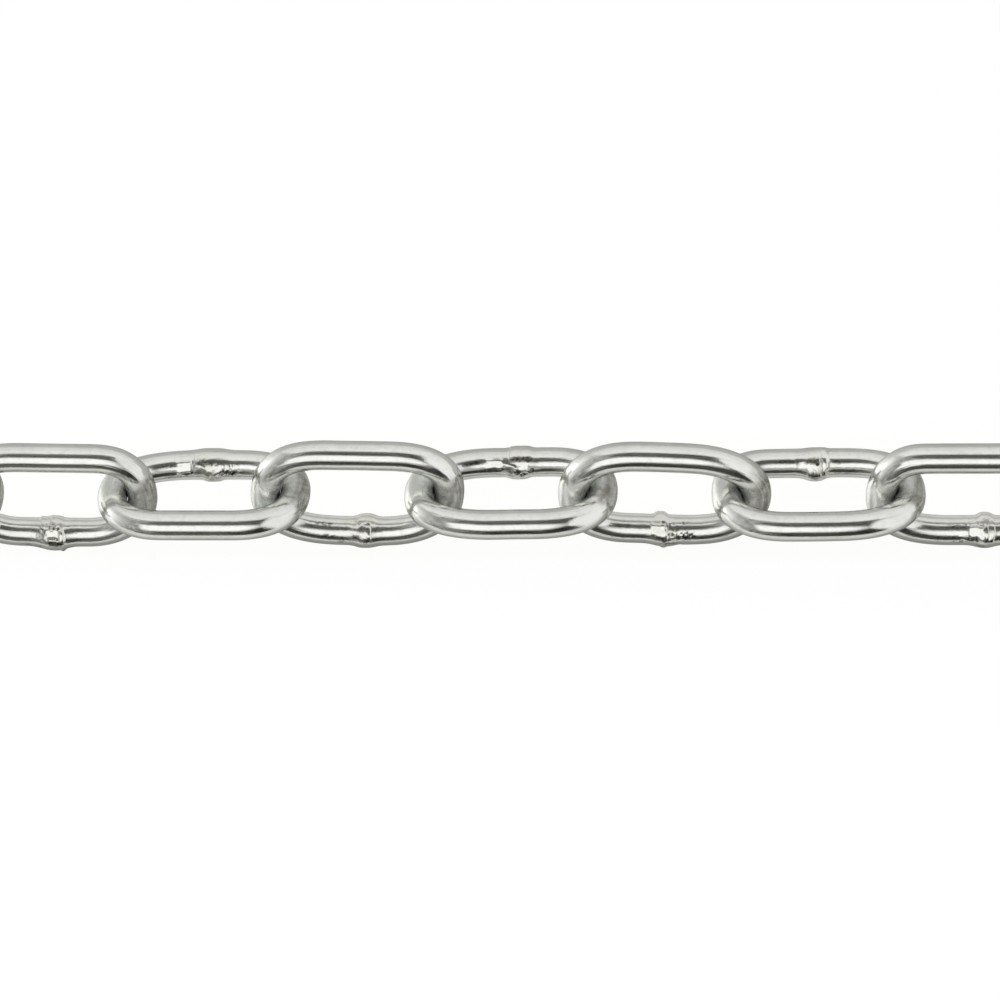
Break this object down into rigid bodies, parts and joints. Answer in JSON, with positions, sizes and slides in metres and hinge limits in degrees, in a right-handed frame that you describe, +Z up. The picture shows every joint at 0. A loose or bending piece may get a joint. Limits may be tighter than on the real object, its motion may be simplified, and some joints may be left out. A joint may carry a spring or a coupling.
{
  "type": "steel link chain",
  "caption": "Straight cut length of bright zinc-plated chain: oval welded links of round steel wire, each hooked square through the next and free to swing.",
  "frame": {"origin": "on the floor under the middle of the chain's length, on its centre line", "axes": "+X along the chain, +Z up, +Y across it; odd links have their plain bar raised on the +Y side, even ones on the -Y side"},
  "size_m": [0.9972, 0.0202, 0.0198],
  "materials": {
    "zinc_plated_steel": "bright electro zinc plate over drawn wire, mirror-like on the bars, rougher with flash ridges at the welds"
  },
  "bodies": {
    "link_01": {"link_01": "zinc_plated_steel"},
    "link_02": {"link_02": "zinc_plated_steel"},
    "link_03": {"link_03": "zinc_plated_steel"},
    "link_04": {"link_04": "zinc_plated_steel"},
    "link_05": {"link_05": "zinc_plated_steel"},
    "link_06": {"link_06": "zinc_plated_steel"},
    "link_07": {"link_07": "zinc_plated_steel"},
    "link_08": {"link_08": "zinc_plated_steel"},
    "link_09": {"link_09": "zinc_plated_steel"},
    "link_10": {"link_10": "zinc_plated_steel"},
    "link_11": {"link_11": "zinc_plated_steel"},
    "link_12": {"link_12": "zinc_plated_steel"},
    "link_13": {"link_13": "zinc_plated_steel"},
    "link_14": {"link_14": "zinc_plated_steel"},
    "link_15": {"link_15": "zinc_plated_steel"},
    "link_16": {"link_16": "zinc_plated_steel"},
    "link_17": {"link_17": "zinc_plated_steel"},
    "link_18": {"link_18": "zinc_plated_steel"},
    "link_19": {"link_19": "zinc_plated_steel"},
    "link_20": {"link_20": "zinc_plated_steel"},
    "link_21": {"link_21": "zinc_plated_steel"},
    "link_22": {"link_22": "zinc_plated_steel"},
    "link_23": {"link_23": "zinc_plated_steel"},
    "link_24": {"link_24": "zinc_plated_steel"},
    "link_25": {"link_25": "zinc_plated_steel"},
    "link_26": {"link_26": "zinc_plated_steel"},
    "link_27": {"link_27": "zinc_plated_steel"},
    "link_28": {"link_28": "zinc_plated_steel"},
    "link_29": {"link_29": "zinc_plated_steel"},
    "link_30": {"link_30": "zinc_plated_steel"},
    "link_31": {"link_31": "zinc_plated_steel"},
    "link_32": {"link_32": "zinc_plated_steel"}
  },
  "joints": [
    {"name": "swing_16_17", "type": "hinge", "parent": "link_16", "child": "link_17", "pos_m": [0.003, 0, 0.0101], "axis": [0, -0.7071, 0.7071], "range_deg": [-90, 90]},
    {"name": "swing_17_18", "type": "hinge", "parent": "link_17", "child": "link_18", "pos_m": [0.0338, 0, 0.0101], "axis": [0, 0.7071, 0.7071], "range_deg": [-90, 90]},
    {"name": "swing_18_19", "type": "hinge", "parent": "link_18", "child": "link_19", "pos_m": [0.0646, 0, 0.0101], "axis": [0, 0.7071, -0.7071], "range_deg": [-90, 90]},
    {"name": "swing_19_20", "type": "hinge", "parent": "link_19", "child": "link_20", "pos_m": [0.0954, 0, 0.0101], "axis": [0, -0.7071, -0.7071], "range_deg": [-90, 90]},
    {"name": "swing_20_21", "type": "hinge", "parent": "link_20", "child": "link_21", "pos_m": [0.1262, 0, 0.0101], "axis": [0, -0.7071, 0.7071], "range_deg": [-90, 90]},
    {"name": "swing_21_22", "type": "hinge", "parent": "link_21", "child": "link_22", "pos_m": [0.157, 0, 0.0101], "axis": [0, 0.7071, 0.7071], "range_deg": [-90, 90]},
    {"name": "swing_22_23", "type": "hinge", "parent": "link_22", "child": "link_23", "pos_m": [0.1878, 0, 0.0101], "axis": [0, 0.7071, -0.7071], "range_deg": [-90, 90]},
    {"name": "swing_23_24", "type": "hinge", "parent": "link_23", "child": "link_24", "pos_m": [0.2186, 0, 0.0101], "axis": [0, -0.7071, -0.7071], "range_deg": [-90, 90]},
    {"name": "swing_24_25", "type": "hinge", "parent": "link_24", "child": "link_25", "pos_m": [0.2494, 0, 0.0101], "axis": [0, -0.7071, 0.7071], "range_deg": [-90, 90]},
    {"name": "swing_25_26", "type": "hinge", "parent": "link_25", "child": "link_26", "pos_m": [0.2802, 0, 0.0101], "axis": [0, 0.7071, 0.7071], "range_deg": [-90, 90]},
    {"name": "swing_26_27", "type": "hinge", "parent": "link_26", "child": "link_27", "pos_m": [0.311, 0, 0.0101], "axis": [0, 0.7071, -0.7071], "range_deg": [-90, 90]},
    {"name": "swing_27_28", "type": "hinge", "parent": "link_27", "child": "link_28", "pos_m": [0.3418, 0, 0.0101], "axis": [0, -0.7071, -0.7071], "range_deg": [-90, 90]},
    {"name": "swing_28_29", "type": "hinge", "parent": "link_28", "child": "link_29", "pos_m": [0.3726, 0, 0.0101], "axis": [0, -0.7071, 0.7071], "range_deg": [-90, 90]},
    {"name": "swing_29_30", "type": "hinge", "parent": "link_29", "child": "link_30", "pos_m": [0.4034, 0, 0.0101], "axis": [0, 0.7071, 0.7071], "range_deg": [-90, 90]},
    {"name": "swing_30_31", "type": "hinge", "parent": "link_30", "child": "link_31", "pos_m": [0.4342, 0, 0.0101], "axis": [0, 0.7071, -0.7071], "range_deg": [-90, 90]},
    {"name": "swing_31_32", "type": "hinge", "parent": "link_31", "child": "link_32", "pos_m": [0.465, 0, 0.0101], "axis": [0, -0.7071, -0.7071], "range_deg": [-90, 90]},
    {"name": "swing_15_16", "type": "hinge", "parent": "link_16", "child": "link_15", "pos_m": [-0.0338, 0, 0.0101], "axis": [0, -0.7071, 0.7071], "range_deg": [-90, 90]},
    {"name": "swing_14_15", "type": "hinge", "parent": "link_15", "child": "link_14", "pos_m": [-0.0646, 0, 0.0101], "axis": [0, 0.7071, 0.7071], "range_deg": [-90, 90]},
    {"name": "swing_13_14", "type": "hinge", "parent": "link_14", "child": "link_13", "pos_m": [-0.0954, 0, 0.0101], "axis": [0, 0.7071, -0.7071], "range_deg": [-90, 90]},
    {"name": "swing_12_13", "type": "hinge", "parent": "link_13", "child": "link_12", "pos_m": [-0.1262, 0, 0.0101], "axis": [0, -0.7071, -0.7071], "range_deg": [-90, 90]},
    {"name": "swing_11_12", "type": "hinge", "parent": "link_12", "child": "link_11", "pos_m": [-0.157, 0, 0.0101], "axis": [0, -0.7071, 0.7071], "range_deg": [-90, 90]},
    {"name": "swing_10_11", "type": "hinge", "parent": "link_11", "child": "link_10", "pos_m": [-0.1878, 0, 0.0101], "axis": [0, 0.7071, 0.7071], "range_deg": [-90, 90]},
    {"name": "swing_09_10", "type": "hinge", "parent": "link_10", "child": "link_09", "pos_m": [-0.2186, 0, 0.0101], "axis": [0, 0.7071, -0.7071], "range_deg": [-90, 90]},
    {"name": "swing_08_09", "type": "hinge", "parent": "link_09", "child": "link_08", "pos_m": [-0.2494, 0, 0.0101], "axis": [0, -0.7071, -0.7071], "range_deg": [-90, 90]},
    {"name": "swing_07_08", "type": "hinge", "parent": "link_08", "child": "link_07", "pos_m": [-0.2802, 0, 0.0101], "axis": [0, -0.7071, 0.7071], "range_deg": [-90, 90]},
    {"name": "swing_06_07", "type": "hinge", "parent": "link_07", "child": "link_06", "pos_m": [-0.311, 0, 0.0101], "axis": [0, 0.7071, 0.7071], "range_deg": [-90, 90]},
    {"name": "swing_05_06", "type": "hinge", "parent": "link_06", "child": "link_05", "pos_m": [-0.3418, 0, 0.0101], "axis": [0, 0.7071, -0.7071], "range_deg": [-90, 90]},
    {"name": "swing_04_05", "type": "hinge", "parent": "link_05", "child": "link_04", "pos_m": [-0.3726, 0, 0.0101], "axis": [0, -0.7071, -0.7071], "range_deg": [-90, 90]},
    {"name": "swing_03_04", "type": "hinge", "parent": "link_04", "child": "link_03", "pos_m": [-0.4034, 0, 0.0101], "axis": [0, -0.7071, 0.7071], "range_deg": [-90, 90]},
    {"name": "swing_02_03", "type": "hinge", "parent": "link_03", "child": "link_02", "pos_m": [-0.4342, 0, 0.0101], "axis": [0, 0.7071, 0.7071], "range_deg": [-90, 90]},
    {"name": "swing_01_02", "type": "hinge", "parent": "link_02", "child": "link_01", "pos_m": [-0.465, 0, 0.0101], "axis": [0, 0.7071, -0.7071], "range_deg": [-90, 90]}
  ]
}
